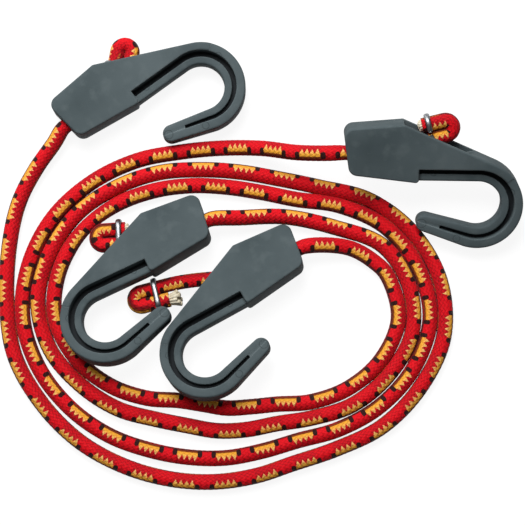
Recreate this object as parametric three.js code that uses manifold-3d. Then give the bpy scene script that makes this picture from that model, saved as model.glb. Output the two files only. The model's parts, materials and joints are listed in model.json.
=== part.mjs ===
// A pair of bungee cords lying coiled together. Each cord is a rubber core in a braided sheath,
// with a moulded hook at both ends. The cord enters the hook's rear wall, leaves by the slanted
// trough, folds back on itself and is clamped by a wire clip, so that it can't pull out again.
// Millimetres, +Z up, the table is z = 0, the origin is under the middle of the four hooks.
import * as THREE from "three";
import { mergeVertices } from "three/addons/utils/BufferGeometryUtils.js";
import Module from "manifold-3d";

// Cord
const CORD_D = 8; // outside of the braided sheath
const SHEATH_WALL = 0.9;
const CORE_CLEAR = 0.3; // between the core and the sheath's bore
const CORE_SHOWS = 2.5; // core standing out of the sheath at the cut end
const CORD_SIDES = 8;
const BORE_SIDES = 5;
const STEPS_PER_POINT = 2; // steps of the tube between two points of the route
const CORD_LIES = 0.15; // gap between a lying cord and the table
const EXIT_RUN = 3; // straight cord just outside a hook's rear wall
const SEAM_X = 11; // folded end meets the free stretch this far inside the hook
const SEAM_GAP = 0.3;

// Folded end and its clip
const LEG_PITCH = 8.7; // between the two legs of the fold
const CLIP_WIRE = 1.8;
const CLIP_CLEAR = 0.3;
const CLIP_BACK = 8.5; // from the turn of the fold to the clip
const CLIP_MOUTH = 2; // gap between the ends of the wire

// Hook body
const HOOK_WIDTH = 17; // across the cheeks
const CHEEK_WALL = 1.6;
const REAR_WALL = 3;
const EDGE_WALL = 2.6; // top wall and underside of the body
const HOLE_CLEAR = 0.6; // round the cord in the rear wall
const REAR_TOP = 15; // rear wall above the cord
const REAR_BELOW = 10.6; // rear wall below the cord
const REAR_LEAN = 8.5; // degrees
const TOP_LENGTH = 31; // cord entry to the start of the slanted edge
const TOP_HEIGHT = 18; // there
const BLOCK_LENGTH = 39.8; // cord entry to the front of the body
const BLOCK_STEP = 0.6; // underside of the body below the bar
const TROUGH_LENGTH = 70; // cord entry to the front end of the trough
const CORNER_R = 5.2;
const EDGE_CHAMFER = 0.9;

// Hook bar
const BEND_X = 72.9; // cord entry to the centre of the bend
const BEND_DROP = 27.3; // centre of the bend below the cord
const THROAT_R = 13.1;
const BAR_WIDTH = 11.8;
const LEDGE_WIDTH = 4.9; // thin inner flange
const GROOVE_WIDTH = 2.4;
const LEDGE_THICK = 9.6;
const GROOVE_FLOOR = 5; // web left between the two grooves
const BEND_SWEEP = 196.5; // degrees
const TIP_LENGTH = 24.3;
const TIP_WIDTH = 9.6;
const TIP_THICK = 9.8;
const GROOVE_STOPS = 9; // plain bar before the centre of the round tip

// How each hook lies: cord entry x and y, heading and roll in degrees. A turned hook lies on its
// other cheek. The fold has its turn at x, y in the hook's own plane, its heading and its roll
// there, the length of the leg that comes back and the side that it comes back on.
const ENDS = {
  a: {
    entry: [-122.2, 52.1], heading: 36.2, roll: 0, turned: false,
    fold: { turn: [50.4, 14.7], heading: 43, roll: 0, leg: 10, side: 1 },
  },
  b: {
    entry: [33.2, 33.7], heading: -0.8, roll: 24, turned: false,
    fold: { turn: [53.7, 15], heading: 15, roll: 0, leg: 12, side: 1 },
  },
  c: {
    entry: [-44.2, -2.3], heading: 205.3, roll: 9.5, turned: true,
    fold: { turn: [55.2, 16], heading: 22, roll: -4.2, leg: 12, side: 1 },
  },
  d: {
    entry: [6.9, -18], heading: 208.8, roll: 8.5, turned: true,
    fold: { turn: [89.2, 18.2], heading: 15, roll: 4, leg: 15, side: -1 },
  },
};

// Coil: the two cords wind in side by side. At every 30 degrees from +X, how far the first cord
// reaches from the coil's middle, how much a turn draws in, and the pitch between the two cords.
const COIL_MIDDLE = [-32.6, -55.7];
const COIL_REACH = [131.9, 123.5, 103.4, 101.2, 110, 121.2, 124.1, 114.8, 105.6, 99.2, 99.2, 117.8];
const TURN_PITCH = [17.6, 18.5, 22.2, 22.2, 19.6, 17.6, 18, 25.2, 31.6, 27.4, 23.2, 20];
const PAIR_PITCH = [8.7, 9.1, 9.8, 9.2, 9.5, 8.7, 9, 10.6, 13.3, 12.8, 11.2, 10.1];
const COIL_START = 150; // degrees, where the reach is taken
const COIL_STEP = 15; // degrees between two points of the route

// Each cord: its hooks, its lane in the coil, the part of the coil that it runs, and the points
// between the coil and each hook, as x, y and the lift where the cord is off the table.
const CORDS = {
  cord_1: {
    from: "a", to: "c", lane: 0, coil: [175, 745],
    lead: [[-129.4, 42.7, 3], [-139.8, 28, 1], [-148.7, 10.6], [-153.7, -10.8]],
    tail: [[27.6, -4.9, 0.2], [-0.3, 0.9, 1.5], [-25.4, 0, 4.6]],
  },
  cord_2: {
    from: "b", to: "d", lane: 1, coil: [120, 735],
    lead: [[21.6, 33.6, 21.5], [5.9, 34.9, 16], [-13.2, 38.6, 7.5], [-35.6, 39.7, 1.5], [-59.2, 37.7]],
    tail: [[48.6, -23.6], [37.1, -17.1, 1], [23.9, -15.3, 4.4]],
  },
};

const wasm = await Module();
wasm.setup();
const rad = THREE.MathUtils.degToRad;
const v2 = (x, y) => new THREE.Vector2(x, y);
const v3 = (x, y, z = 0) => new THREE.Vector3(x, y, z);

// Solids

function solid(geometry) {
  const bare = geometry.clone();
  bare.deleteAttribute("normal");
  bare.deleteAttribute("uv");
  const merged = mergeVertices(bare, 1e-4);
  const index = Array.from(merged.index.array);
  const triVerts = [];
  for (let i = 0; i < index.length; i += 3) {
    const [a, b, c] = index.slice(i, i + 3);
    if (a !== b && b !== c && c !== a) triVerts.push(a, b, c);
  }
  return new wasm.Manifold(
    new wasm.Mesh({
      numProp: 3,
      vertProperties: merged.attributes.position.array,
      triVerts: new Uint32Array(triVerts),
    }),
  );
}

function geometryOf(made) {
  const mesh = made.getMesh();
  const geometry = new THREE.BufferGeometry();
  geometry.setAttribute("position", new THREE.BufferAttribute(mesh.vertProperties, 3));
  geometry.setIndex(new THREE.BufferAttribute(mesh.triVerts, 1));
  geometry.computeVertexNormals();
  return geometry;
}

// A plate of the outline, with its middle plane at z = 0 and chamfered edges.
function plate(outline, thick, chamfer = 0) {
  const geometry = new THREE.ExtrudeGeometry(new THREE.Shape(outline), {
    depth: thick - 2 * chamfer,
    bevelEnabled: chamfer > 0,
    bevelThickness: chamfer,
    bevelSize: chamfer,
    bevelOffset: -chamfer,
    bevelSegments: 1,
  });
  return geometry.translate(0, 0, chamfer - thick / 2);
}

function arc(centre, radius, from, to, steps) {
  return Array.from({ length: steps + 1 }, (_, i) => {
    const turn = from + ((to - from) * i) / steps;
    return v2(centre.x + radius * Math.cos(turn), centre.y + radius * Math.sin(turn));
  });
}

// The corner at a point of an outline, rounded by an arc that touches both sides.
function corner(before, at, after, radius, steps = 4) {
  const a = before.clone().sub(at).normalize();
  const b = after.clone().sub(at).normalize();
  const half = Math.acos(a.dot(b)) / 2;
  const centre = a.clone().add(b).normalize().multiplyScalar(radius / Math.sin(half)).add(at);
  const reach = radius / Math.tan(half);
  const start = a.multiplyScalar(reach).add(at).sub(centre).angle();
  const end = b.multiplyScalar(reach).add(at).sub(centre).angle();
  let sweep = end - start;
  sweep -= 2 * Math.PI * Math.round(sweep / (2 * Math.PI));
  return arc(centre, radius, start, start + sweep, steps);
}

// Hook, in its own frame: X along the cord, Y towards the slanted edge, Z across the cheeks

const bend = v2(BEND_X, -BEND_DROP);
const outerR = THROAT_R + BAR_WIDTH;
const ledgeR = THROAT_R + LEDGE_WIDTH;
const rimR = ledgeR + GROOVE_WIDTH;
const lean = Math.tan(rad(REAR_LEAN));
const slantStart = v2(TOP_LENGTH, TOP_HEIGHT);

// Where the slanted edge runs into the bend, as an angle round the bend's centre.
function slantAngle() {
  const away = slantStart.clone().sub(bend);
  return away.angle() - Math.acos(outerR / away.length());
}

function slantHeight(x) {
  const angle = slantAngle();
  return TOP_HEIGHT - (x - TOP_LENGTH) / Math.tan(angle);
}

function cheekOutline() {
  const rearTop = v2(-REAR_TOP * lean, REAR_TOP);
  const rearBottom = v2(REAR_BELOW * lean, -REAR_BELOW);
  const blockFoot = v2(BLOCK_LENGTH, bend.y + THROAT_R - BLOCK_STEP);
  const blockHead = v2(BLOCK_LENGTH, bend.y + rimR);
  const rimEnd = Math.PI / 2 - rad(50);
  return [
    ...corner(blockFoot, rearBottom, rearTop, CORNER_R),
    ...corner(rearBottom, rearTop, slantStart, CORNER_R),
    ...corner(rearTop, slantStart, v2(BEND_X, slantHeight(BEND_X)), CORNER_R / 2, 2),
    ...arc(bend, outerR, slantAngle(), rimEnd, 3),
    ...arc(bend, rimR, rimEnd, Math.PI / 2, 4),
    blockHead,
    ...corner(blockHead, blockFoot, rearBottom, CORNER_R / 3, 2),
  ];
}

// The bar's middle line from the body, round the bend and along the tip. Each station has its
// place, the way out from the throat, its share of the way and of the section's width.
function barStations() {
  const middleR = THROAT_R + BAR_WIDTH / 2;
  const armStart = BLOCK_LENGTH - EDGE_WALL;
  const arm = BEND_X - armStart;
  const sweep = rad(BEND_SWEEP);
  const last = Math.PI / 2 - sweep;
  const whole = arm + middleR * sweep + TIP_LENGTH;
  const along = v2(Math.sin(last), -Math.cos(last));
  const endOut = v2(Math.cos(last), Math.sin(last));
  const stations = [
    { at: v2(armStart, bend.y + middleR), out: v2(0, 1), share: 0, wide: 1 },
  ];
  for (let i = 0; i <= 14; i++) {
    const turn = Math.PI / 2 - (sweep * i) / 14;
    const out = v2(Math.cos(turn), Math.sin(turn));
    const at = out.clone().multiplyScalar(middleR).add(bend);
    stations.push({ at, out, share: (arm + middleR * (Math.PI / 2 - turn)) / whole, wide: 1 });
  }
  const bendEnd = stations.at(-1).at;
  const tip = (distance, wide) => stations.push({
    at: along.clone().multiplyScalar(distance).add(bendEnd),
    out: endOut,
    share: (whole - TIP_LENGTH + Math.min(distance, TIP_LENGTH)) / whole,
    wide,
  });
  tip(TIP_LENGTH - GROOVE_STOPS, 1);
  tip(TIP_LENGTH - GROOVE_STOPS + GROOVE_WIDTH, 1);
  for (const turn of [0, 30, 55, 75]) {
    tip(TIP_LENGTH + (TIP_WIDTH / 2) * Math.sin(rad(turn)), Math.cos(rad(turn)));
  }
  const tipShare = (whole - TIP_LENGTH) / whole;
  const grooveEnd = (whole - GROOVE_STOPS) / whole;
  return { stations, tipShare, grooveEnd };
}

// One side of the bar's section, from the throat to the outside: thin flange, groove and rim.
function barSection({ share, wide }, tipShare, grooveEnd) {
  const tipPart = Math.max(0, (share - tipShare) / (1 - tipShare));
  const width = (BAR_WIDTH + (TIP_WIDTH - BAR_WIDTH) * tipPart) * wide;
  const rimPart = Math.max(0, share - 0.35) / 0.65;
  const round = wide < 1 ? 0.6 + 0.4 * wide : 1;
  const rim = (HOOK_WIDTH / 2 + (TIP_THICK / 2 - HOOK_WIDTH / 2) * rimPart) * round;
  const ledge = Math.min(LEDGE_THICK / 2, rim) * round;
  const floor = share > grooveEnd ? Math.min(ledge, rim) : GROOVE_FLOOR / 2;
  const inner = -width / 2;
  const groove = inner + (width * LEDGE_WIDTH) / BAR_WIDTH;
  const rimStart = groove + (width * GROOVE_WIDTH) / BAR_WIDTH;
  const cut = EDGE_CHAMFER * wide;
  return [
    [inner, ledge - cut], [inner + cut, ledge], [groove, ledge], [groove, floor],
    [rimStart, floor], [rimStart, rim], [width / 2 - cut, rim], [width / 2, rim - cut],
  ];
}

// The bar as a loft of its section through the stations.
function barGeometry() {
  const { stations, tipShare, grooveEnd } = barStations();
  const rings = stations.map((station) => {
    const upper = barSection(station, tipShare, grooveEnd);
    const section = [...upper, ...upper.map(([n, z]) => [n, -z]).reverse()];
    return section.map(([n, z]) => [
      station.at.x + station.out.x * n,
      station.at.y + station.out.y * n,
      z,
    ]);
  });
  const around = rings[0].length;
  const index = [];
  for (let r = 0; r + 1 < rings.length; r++) {
    for (let i = 0; i < around; i++) {
      const a = r * around + i;
      const b = r * around + ((i + 1) % around);
      index.push(a, a + around, b, b, a + around, b + around);
    }
  }
  const cap = THREE.ShapeUtils.triangulateShape(
    barSection(stations[0], tipShare, grooveEnd)
      .concat(barSection(stations[0], tipShare, grooveEnd).map(([n, z]) => [n, -z]).reverse())
      .map(([n, z]) => v2(n, z)),
    [],
  );
  const last = (rings.length - 1) * around;
  for (const [a, b, c] of cap) {
    index.push(a, c, b, last + a, last + b, last + c);
  }
  const geometry = new THREE.BufferGeometry();
  geometry.setAttribute("position", new THREE.Float32BufferAttribute(rings.flat(2), 3));
  geometry.setIndex(index);
  return geometry;
}

// The hollow of the body: the room for the folded cord, open along the slanted edge.
function hollowOutline() {
  const floor = -REAR_BELOW + EDGE_WALL;
  const wallX = (y) => -y * lean + REAR_WALL;
  const topInside = (x) => {
    const slope = (TOP_HEIGHT - REAR_TOP) / (TOP_LENGTH + REAR_TOP * lean);
    return TOP_HEIGHT + (x - TOP_LENGTH) * slope - EDGE_WALL;
  };
  const webTop = bend.y + rimR + EDGE_WALL;
  const above = 10;
  return [
    v2(wallX(floor), floor),
    v2(BLOCK_LENGTH - EDGE_WALL, floor),
    v2(BLOCK_LENGTH + EDGE_WALL, webTop),
    v2(TROUGH_LENGTH, slantHeight(TROUGH_LENGTH) + EDGE_WALL / 4),
    v2(TROUGH_LENGTH, slantHeight(TROUGH_LENGTH) + above),
    v2(TOP_LENGTH + 0.01, TOP_HEIGHT + above),
    v2(TOP_LENGTH, topInside(TOP_LENGTH)),
    v2(wallX(REAR_TOP - EDGE_WALL), topInside(wallX(REAR_TOP - EDGE_WALL))),
  ];
}

function hookGeometry() {
  const hole = new THREE.CylinderGeometry(
    CORD_D / 2 + HOLE_CLEAR, CORD_D / 2 + HOLE_CLEAR, 6 * REAR_WALL, 16,
  ).rotateZ(Math.PI / 2);
  return geometryOf(
    solid(plate(cheekOutline(), HOOK_WIDTH, EDGE_CHAMFER))
      .add(solid(barGeometry()))
      .subtract(solid(plate(hollowOutline(), HOOK_WIDTH - 2 * CHEEK_WALL)))
      .subtract(solid(hole)),
  );
}

// Cords

// A route of straight runs and turns, each with a number of steps of its own.
class Run extends THREE.Curve {
  constructor(pieces) {
    super();
    this.pieces = pieces;
    this.steps = pieces.reduce((sum, piece) => sum + piece.steps, 0);
  }

  getPoint(t) {
    let left = t * this.steps;
    for (const { curve, steps } of this.pieces) {
      if (left <= steps) return curve.getPoint(left / steps);
      left -= steps;
    }
    const { curve } = this.pieces.at(-1);
    return curve.getPoint(1);
  }

  getPointAt(u) {
    return this.getPoint(u);
  }

  getTangentAt(u) {
    return this.getTangent(u);
  }
}

// Half a turn or less round a centre, in the plane of two unit vectors.
class Turn extends THREE.Curve {
  constructor(centre, across, ahead, radius, angle) {
    super();
    Object.assign(this, { centre, across, ahead, radius, angle });
  }

  getPoint(t) {
    const turn = this.angle * t;
    return this.across.clone().multiplyScalar(Math.cos(turn))
      .addScaledVector(this.ahead, Math.sin(turn))
      .multiplyScalar(this.radius).add(this.centre);
  }
}

const ring = (radius, sides) => arc(v2(0, 0), radius, 0, 2 * Math.PI, sides).slice(0, -1);

function tube(path, steps, radius, sides, bore = 0) {
  const shape = new THREE.Shape(ring(radius, sides));
  if (bore > 0) shape.holes.push(new THREE.Path(ring(bore, BORE_SIDES)));
  return new THREE.ExtrudeGeometry(shape, { steps, extrudePath: path });
}

const coreR = CORD_D / 2 - SHEATH_WALL - CORE_CLEAR;
const boreR = CORD_D / 2 - SHEATH_WALL;
const line = (from, to, steps = 1) => ({ curve: new THREE.LineCurve3(from, to), steps });

// The folded end, in the plane of its hook: along the cord's axis, up into the trough, round the
// turn and back. The core stands out of the sheath by the given length.
function foldRun({ fold }, extra = 0) {
  const start = v3(SEAM_X + SEAM_GAP, 0);
  const bendStart = v3(SEAM_X + CORD_D / 2, 0);
  const way = rad(fold.heading);
  const ahead = v3(Math.cos(way), Math.sin(way));
  const back = v3(-Math.sin(way), Math.cos(way)).multiplyScalar(fold.side);
  const turn = v3(...fold.turn);
  const outEnd = turn.clone().addScaledVector(back, -LEG_PITCH / 2);
  const straight = Math.max(fold.leg, CLIP_BACK + CLIP_WIRE);
  const outStart = outEnd.clone().addScaledVector(ahead, -straight);
  const pull = bendStart.distanceTo(outStart) * 0.4;
  const rise = new THREE.CubicBezierCurve3(
    bendStart,
    bendStart.clone().add(v3(pull, 0)),
    outStart.clone().addScaledVector(ahead, -pull),
    outStart,
  );
  const backStart = turn.clone().addScaledVector(back, LEG_PITCH / 2);
  const backEnd = backStart.clone().addScaledVector(ahead, -fold.leg - extra);
  return new Run([
    line(start, bendStart),
    { curve: rise, steps: 7 },
    line(outStart, outEnd),
    { curve: new Turn(turn, back.clone().negate(), ahead, LEG_PITCH / 2, Math.PI), steps: 9 },
    line(backStart, backEnd),
  ]);
}

// A value given at every 30 degrees, smoothly between.
function around(values, degrees) {
  const step = 360 / values.length;
  const at = Math.floor(degrees / step);
  const f = degrees / step - at;
  const [a, b, c, d] = [-1, 0, 1, 2].map((k) => values[(at + k + values.length) % values.length]);
  return b + 0.5 * f * (c - a + f * (2 * a - 5 * b + 4 * c - d + f * (3 * (b - c) + d - a)));
}

// A point of a cord in the coil.
function coilPoint(lane, degrees) {
  const turns = (degrees - COIL_START) / 360;
  const reach = around(COIL_REACH, degrees)
    - around(TURN_PITCH, degrees) * turns
    - around(PAIR_PITCH, degrees) * lane;
  const [x, y] = COIL_MIDDLE;
  return [x + reach * Math.cos(rad(degrees)), y + reach * Math.sin(rad(degrees))];
}

function cordPoints({ lane, lead, coil: [start, end], tail }) {
  const count = Math.round((end - start) / COIL_STEP);
  const wound = Array.from({ length: count + 1 }, (_, i) =>
    coilPoint(lane, start + ((end - start) * i) / count));
  return [...lead, ...wound, ...tail].map(([x, y, lift = 0]) =>
    v3(x, y, CORD_D / 2 + CORD_LIES + lift));
}

// The wire clip, an open ring round both legs of the fold.
function clipGeometry({ fold }) {
  const way = rad(fold.heading);
  const ahead = v3(Math.cos(way), Math.sin(way));
  const back = v3(-Math.sin(way), Math.cos(way)).multiplyScalar(fold.side);
  const up = v3(0, 0, 1);
  const down = v3(0, 0, -1);
  const front = back.clone().negate();
  const radius = CORD_D / 2 + CLIP_CLEAR + CLIP_WIRE / 2;
  const middle = v3(...fold.turn).addScaledVector(ahead, -CLIP_BACK);
  const place = (across, height) => middle.clone()
    .addScaledVector(back, across).addScaledVector(up, height);
  const half = LEG_PITCH / 2;
  const path = new Run([
    line(place(CLIP_MOUTH / 2, radius), place(half, radius)),
    { curve: new Turn(place(half, 0), up, back, radius, Math.PI), steps: 6 },
    line(place(half, -radius), place(-half, -radius)),
    { curve: new Turn(place(-half, 0), down, front, radius, Math.PI), steps: 6 },
    line(place(-half, radius), place(-CLIP_MOUTH / 2, radius)),
  ]);
  return tube(path, path.steps, CLIP_WIRE / 2, 6);
}

// The least gap of a tube to itself, on points along it, past the bend of one diameter.
function leastGap(curve, count, radius) {
  const points = curve.getPoints(count);
  const lengths = curve.getLengths(count);
  let least = Infinity;
  for (let i = 0; i < points.length; i++) {
    for (let j = i + 1; j < points.length; j++) {
      if (lengths[j] - lengths[i] < Math.PI * radius * 2.2) continue;
      least = Math.min(least, points[i].distanceTo(points[j]) - 2 * radius);
    }
  }
  return least;
}

// Materials

const finish = (color, roughness, metalness = 0) =>
  new THREE.MeshStandardMaterial({ color, roughness, metalness });
const sheathFinish = finish(0xc8102a, 0.75);
const coreFinish = finish(0xd9cfb4, 0.8);
const hookFinish = finish(0x4d5557, 0.55);
const clipFinish = finish(0xb9bdc0, 0.3, 1);

function piece(name, geometry, material) {
  const mesh = new THREE.Mesh(geometry, material);
  mesh.name = name;
  return mesh;
}

// Assembly

const bungees = new THREE.Group();
const hookSolid = hookGeometry();
const places = {};

// Turn a hook as it lies, and lower it until it touches the table.
function placed({ entry, heading, roll, turned }) {
  const group = new THREE.Group();
  group.rotation.set(rad(roll) + (turned ? Math.PI : 0), 0, rad(heading), "ZYX");
  group.updateMatrix();
  const lying = new THREE.Box3().setFromBufferAttribute(
    hookSolid.clone().applyMatrix4(group.matrix).attributes.position,
  );
  group.position.set(...entry, -lying.min.z);
  group.updateMatrix();
  return group;
}

for (const [letter, end] of Object.entries(ENDS)) {
  const group = placed(end);
  places[letter] = group;
  group.add(piece(`hook_${letter}`, hookSolid, hookFinish));
  const folded = new THREE.Group();
  folded.rotation.x = rad(end.fold.roll);
  const sheathRun = foldRun(end);
  const coreRun = foldRun(end, CORE_SHOWS);
  folded.add(
    piece(
      `end_${letter}_sheath`,
      tube(sheathRun, sheathRun.steps, CORD_D / 2, CORD_SIDES, boreR),
      sheathFinish,
    ),
    piece(`end_${letter}_core`, tube(coreRun, coreRun.steps, coreR, BORE_SIDES), coreFinish),
    piece(`clip_${letter}`, clipGeometry(end), clipFinish),
  );
  group.add(folded);
  bungees.add(group);
  console.log(`end_${letter} gap to itself`, leastGap(sheathRun, 200, CORD_D / 2).toFixed(2));
}

for (const [name, cord] of Object.entries(CORDS)) {
  const axis = (letter, xs) => xs.map((x) => v3(x, 0).applyMatrix4(places[letter].matrix));
  const inside = [SEAM_X, REAR_WALL, -EXIT_RUN];
  const route = new THREE.CatmullRomCurve3([
    ...axis(cord.from, inside),
    ...cordPoints(cord),
    ...axis(cord.to, inside.toReversed()),
  ]);
  const steps = (route.points.length - 1) * STEPS_PER_POINT;
  const stepped = new Run([{ curve: route, steps }]);
  bungees.add(
    piece(`${name}_sheath`, tube(stepped, steps, CORD_D / 2, CORD_SIDES, boreR), sheathFinish),
    piece(`${name}_core`, tube(stepped, steps, coreR, BORE_SIDES), coreFinish),
  );
  console.log(`${name} length`, route.getLength().toFixed(0),
    "gap to itself", leastGap(route, 800, CORD_D / 2).toFixed(2));
}

export default bungees;
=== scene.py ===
import json
import math

import bmesh
import bpy
import numpy as np
from mathutils import Matrix, Vector


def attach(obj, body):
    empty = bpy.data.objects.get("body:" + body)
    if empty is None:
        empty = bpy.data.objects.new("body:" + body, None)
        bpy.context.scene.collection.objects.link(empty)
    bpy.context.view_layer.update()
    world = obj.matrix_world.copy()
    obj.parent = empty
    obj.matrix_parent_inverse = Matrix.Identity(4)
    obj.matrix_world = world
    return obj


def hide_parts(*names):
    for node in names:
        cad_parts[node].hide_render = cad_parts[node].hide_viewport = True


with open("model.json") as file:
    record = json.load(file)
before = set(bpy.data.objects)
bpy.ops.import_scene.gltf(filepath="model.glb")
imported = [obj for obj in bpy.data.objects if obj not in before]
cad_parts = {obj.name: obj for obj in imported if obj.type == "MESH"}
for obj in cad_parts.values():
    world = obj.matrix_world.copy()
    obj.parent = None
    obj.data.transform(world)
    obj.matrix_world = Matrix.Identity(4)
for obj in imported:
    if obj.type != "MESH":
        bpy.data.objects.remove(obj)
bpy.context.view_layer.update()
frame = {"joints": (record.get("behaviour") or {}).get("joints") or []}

MM = 0.001
scene = bpy.context.scene
scene.view_settings.view_transform = "Standard"

# Camera, as the photograph was taken

CAMERA_AT = Vector((-0.01291, -0.13910, 1.09397))
CAMERA_TO = Vector((-0.01291, -0.02412, 0.0))
CAMERA_LENS = 134.7
CAMERA_SENSOR = 36.0

camera = bpy.data.objects.new("camera", bpy.data.cameras.new("camera"))
camera.data.lens = CAMERA_LENS
camera.data.sensor_width = CAMERA_SENSOR
camera.location = CAMERA_AT
camera.rotation_euler = (CAMERA_TO - CAMERA_AT).to_track_quat("-Z", "Y").to_euler()
scene.collection.objects.link(camera)
scene.camera = camera

# Sizes in millimetres, as in the part's source

# To come nearer to the photograph, CORE_SHOWS, TROUGH_LENGTH, LEDGE_WIDTH, GROOVE_WIDTH and
# GROOVE_FLOOR differ a little from the source. EDGE_ROUND is only here
CORD_D = 8
CORE_SHOWS = 2
CORD_LIES = 0.15
EXIT_RUN = 3
SEAM_X = 11
SEAM_GAP = 0.3
LEG_PITCH = 8.7
CLIP_WIRE = 1.8
CLIP_CLEAR = 0.3
CLIP_BACK = 8.5
CLIP_MOUTH = 2
HOOK_WIDTH = 17
CHEEK_WALL = 1.6
REAR_WALL = 3
EDGE_WALL = 2.6
HOLE_CLEAR = 0.6
REAR_TOP = 15
REAR_BELOW = 10.6
REAR_LEAN = 8.5
TOP_LENGTH = 31
TOP_HEIGHT = 18
BLOCK_LENGTH = 39.8
BLOCK_STEP = 0.6
TROUGH_LENGTH = 73
CORNER_R = 5.2
EDGE_ROUND = 0.9
BEND_X = 72.9
BEND_DROP = 27.3
THROAT_R = 13.1
BAR_WIDTH = 11.8
LEDGE_WIDTH = 4.2
GROOVE_WIDTH = 3.1
LEDGE_THICK = 9.6
GROOVE_FLOOR = 3.6
BEND_SWEEP = 196.5
TIP_LENGTH = 24.3
TIP_WIDTH = 9.6
TIP_THICK = 9.8
GROOVE_STOPS = 9

ENDS = {
    "a": dict(heading=36.2, roll=0, turned=False,
              fold=dict(turn=(50.4, 14.7), heading=43, roll=0, leg=10, side=1)),
    "b": dict(heading=-0.8, roll=24, turned=False,
              fold=dict(turn=(53.7, 15), heading=15, roll=0, leg=12, side=1)),
    "c": dict(heading=205.3, roll=9.5, turned=True,
              fold=dict(turn=(55.2, 16), heading=22, roll=-4.2, leg=12, side=1)),
    "d": dict(heading=208.8, roll=8.5, turned=True,
              fold=dict(turn=(89.2, 18.2), heading=15, roll=4, leg=15, side=-1)),
}

COIL_MIDDLE = (-32.6, -55.7)
COIL_REACH = (131.9, 123.5, 103.4, 101.2, 110, 121.2, 124.1, 114.8, 105.6, 99.2, 99.2, 117.8)
TURN_PITCH = (17.6, 18.5, 22.2, 22.2, 19.6, 17.6, 18, 25.2, 31.6, 27.4, 23.2, 20)
PAIR_PITCH = (8.7, 9.1, 9.8, 9.2, 9.5, 8.7, 9, 10.6, 13.3, 12.8, 11.2, 10.1)
COIL_START = 150.0
COIL_STEP = 15.0

CORDS = {
    "cord_1": dict(ends="ac", lane=0, coil=(175, 745),
                   lead=((-129.4, 42.7, 3), (-139.8, 28, 1), (-148.7, 10.6, 0), (-153.7, -10.8, 0)),
                   tail=((27.6, -4.9, 0.2), (-0.3, 0.9, 1.5), (-25.4, 0, 4.6))),
    "cord_2": dict(ends="bd", lane=1, coil=(120, 735),
                   lead=((21.6, 33.6, 21.5), (5.9, 34.9, 16), (-13.2, 38.6, 7.5),
                         (-35.6, 39.7, 1.5), (-59.2, 37.7, 0)),
                   tail=((48.6, -23.6, 0), (37.1, -17.1, 1), (23.9, -15.3, 4.4))),
}

# Places and routes

joints = {joint["name"]: joint for joint in frame["joints"]}


def hook_place(letter):
    """The hook's own frame in the world, in millimetres."""
    end = ENDS[letter]
    at = Vector(joints["swivel_" + letter]["pos_m"]) / MM
    roll = math.radians(end["roll"]) + (math.pi if end["turned"] else 0.0)
    return (Matrix.Translation(at) @ Matrix.Rotation(math.radians(end["heading"]), 4, "Z")
            @ Matrix.Rotation(roll, 4, "X"))


PLACES = {letter: hook_place(letter) for letter in ENDS}


def moved(points, matrix):
    m = np.array(matrix)
    return np.asarray(points, float) @ m[:3, :3].T + m[:3, 3]


def around(values, degrees):
    """A value given at every 30 degrees, smoothly between."""
    step = 360.0 / len(values)
    at = math.floor(degrees / step)
    f = degrees / step - at
    a, b, c, d = (values[(at + k) % len(values)] for k in (-1, 0, 1, 2))
    return b + 0.5 * f * (c - a + f * (2 * a - 5 * b + 4 * c - d + f * (3 * (b - c) + d - a)))


def coil_point(lane, degrees):
    """A point of the coil, which winds inwards with two cords side by side."""
    turns = (degrees - COIL_START) / 360.0
    reach = (around(COIL_REACH, degrees) - around(TURN_PITCH, degrees) * turns
             - around(PAIR_PITCH, degrees) * lane)
    way = math.radians(degrees)
    return (COIL_MIDDLE[0] + reach * math.cos(way), COIL_MIDDLE[1] + reach * math.sin(way), 0.0)


def cord_route(cord):
    """Points of a cord from inside its first hook, round the coil, to inside its last."""
    start, end = cord["coil"]
    count = round((end - start) / COIL_STEP)
    wound = [coil_point(cord["lane"], start + (end - start) * i / count) for i in range(count + 1)]
    lying = np.array([*cord["lead"], *wound, *cord["tail"]], float)
    lying[:, 2] += CORD_D / 2 + CORD_LIES
    inside = [(x, 0.0, 0.0) for x in (SEAM_X, REAR_WALL, -EXIT_RUN)]
    first, last = cord["ends"]
    return np.vstack([moved(inside, PLACES[first]), lying, moved(inside[::-1], PLACES[last])])


def smooth_curve(points, per_span=24):
    """Centripetal Catmull-Rom curve through the points."""
    p = np.vstack([2 * points[0] - points[1], points, 2 * points[-1] - points[-2]])
    f = (np.arange(per_span) / per_span)[:, None]
    spans = []
    for p0, p1, p2, p3 in zip(p, p[1:], p[2:], p[3:]):
        d0, d1, d2 = (np.linalg.norm(v) ** 0.5 for v in (p1 - p0, p2 - p1, p3 - p2))
        m1 = ((p1 - p0) / d0 - (p2 - p0) / (d0 + d1) + (p2 - p1) / d1) * d1
        m2 = ((p2 - p1) / d1 - (p3 - p1) / (d1 + d2) + (p3 - p2) / d2) * d1
        spans.append(p1 + m1 * f + (3 * (p2 - p1) - 2 * m1 - m2) * f ** 2
                     + (2 * (p1 - p2) + m1 + m2) * f ** 3)
    return np.vstack([*spans, points[-1:]])


def even(points, step):
    """The same line in even steps, with the length along it."""
    along = np.r_[0.0, np.cumsum(np.linalg.norm(np.diff(points, axis=0), axis=1))]
    s = np.linspace(0.0, along[-1], max(2, round(along[-1] / step)) + 1)
    return np.stack([np.interp(s, along, points[:, k]) for k in range(3)], axis=1), s


def fold_axes(fold):
    """The ways out of the trough and from leg to leg, and the middle of the turn."""
    way = math.radians(fold["heading"])
    ahead = np.array((math.cos(way), math.sin(way), 0.0))
    back = np.array((-math.sin(way), math.cos(way), 0.0)) * fold["side"]
    return ahead, back, np.array((*fold["turn"], 0.0))


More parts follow.
